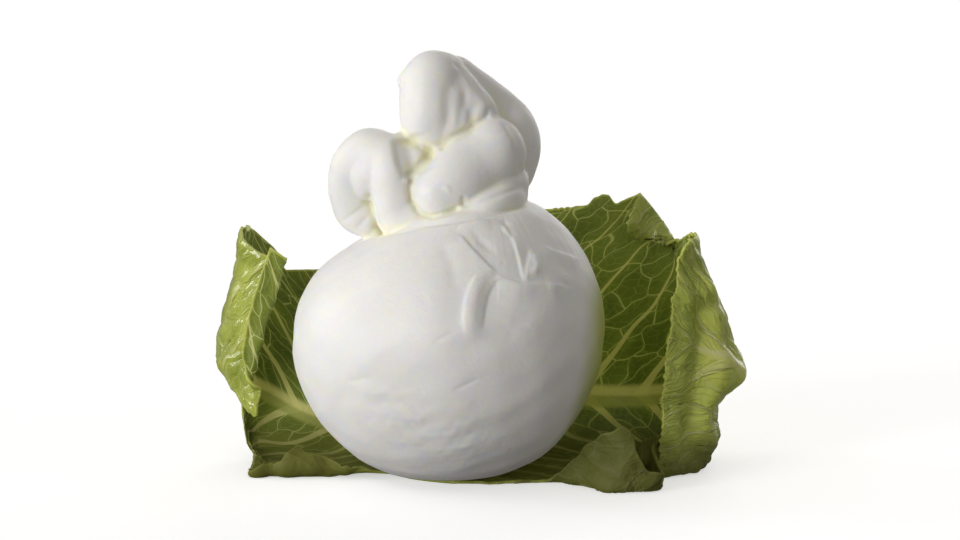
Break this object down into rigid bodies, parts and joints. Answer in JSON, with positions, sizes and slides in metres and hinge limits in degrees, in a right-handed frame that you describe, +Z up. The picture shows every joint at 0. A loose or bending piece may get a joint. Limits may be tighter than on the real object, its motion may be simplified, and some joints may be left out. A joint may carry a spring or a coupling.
{
  "type": "fresh knotted curd cheese on lettuce leaves",
  "caption": "Round ball of fresh white pulled-curd cheese with its neck tied in a fat knot, standing in a cup of curled green lettuce leaves.",
  "frame": {"origin": "centre of the bottom of the whole object's bounding box, on the surface it stands on", "axes": "+Z up, front of the knot faces -Y, leaf tips curl forward at -X and +X"},
  "size_m": [0.153, 0.094, 0.119],
  "materials": {
    "curd": "smooth, moist and slightly glossy, with creamy creases",
    "leaf": "fresh green leaf, waxy, with paler veins and midrib"
  },
  "bodies": {
    "root": {"cheese": "curd", "leaf_left": "leaf", "leaf_right": "leaf"}
  },
  "joints": []
}
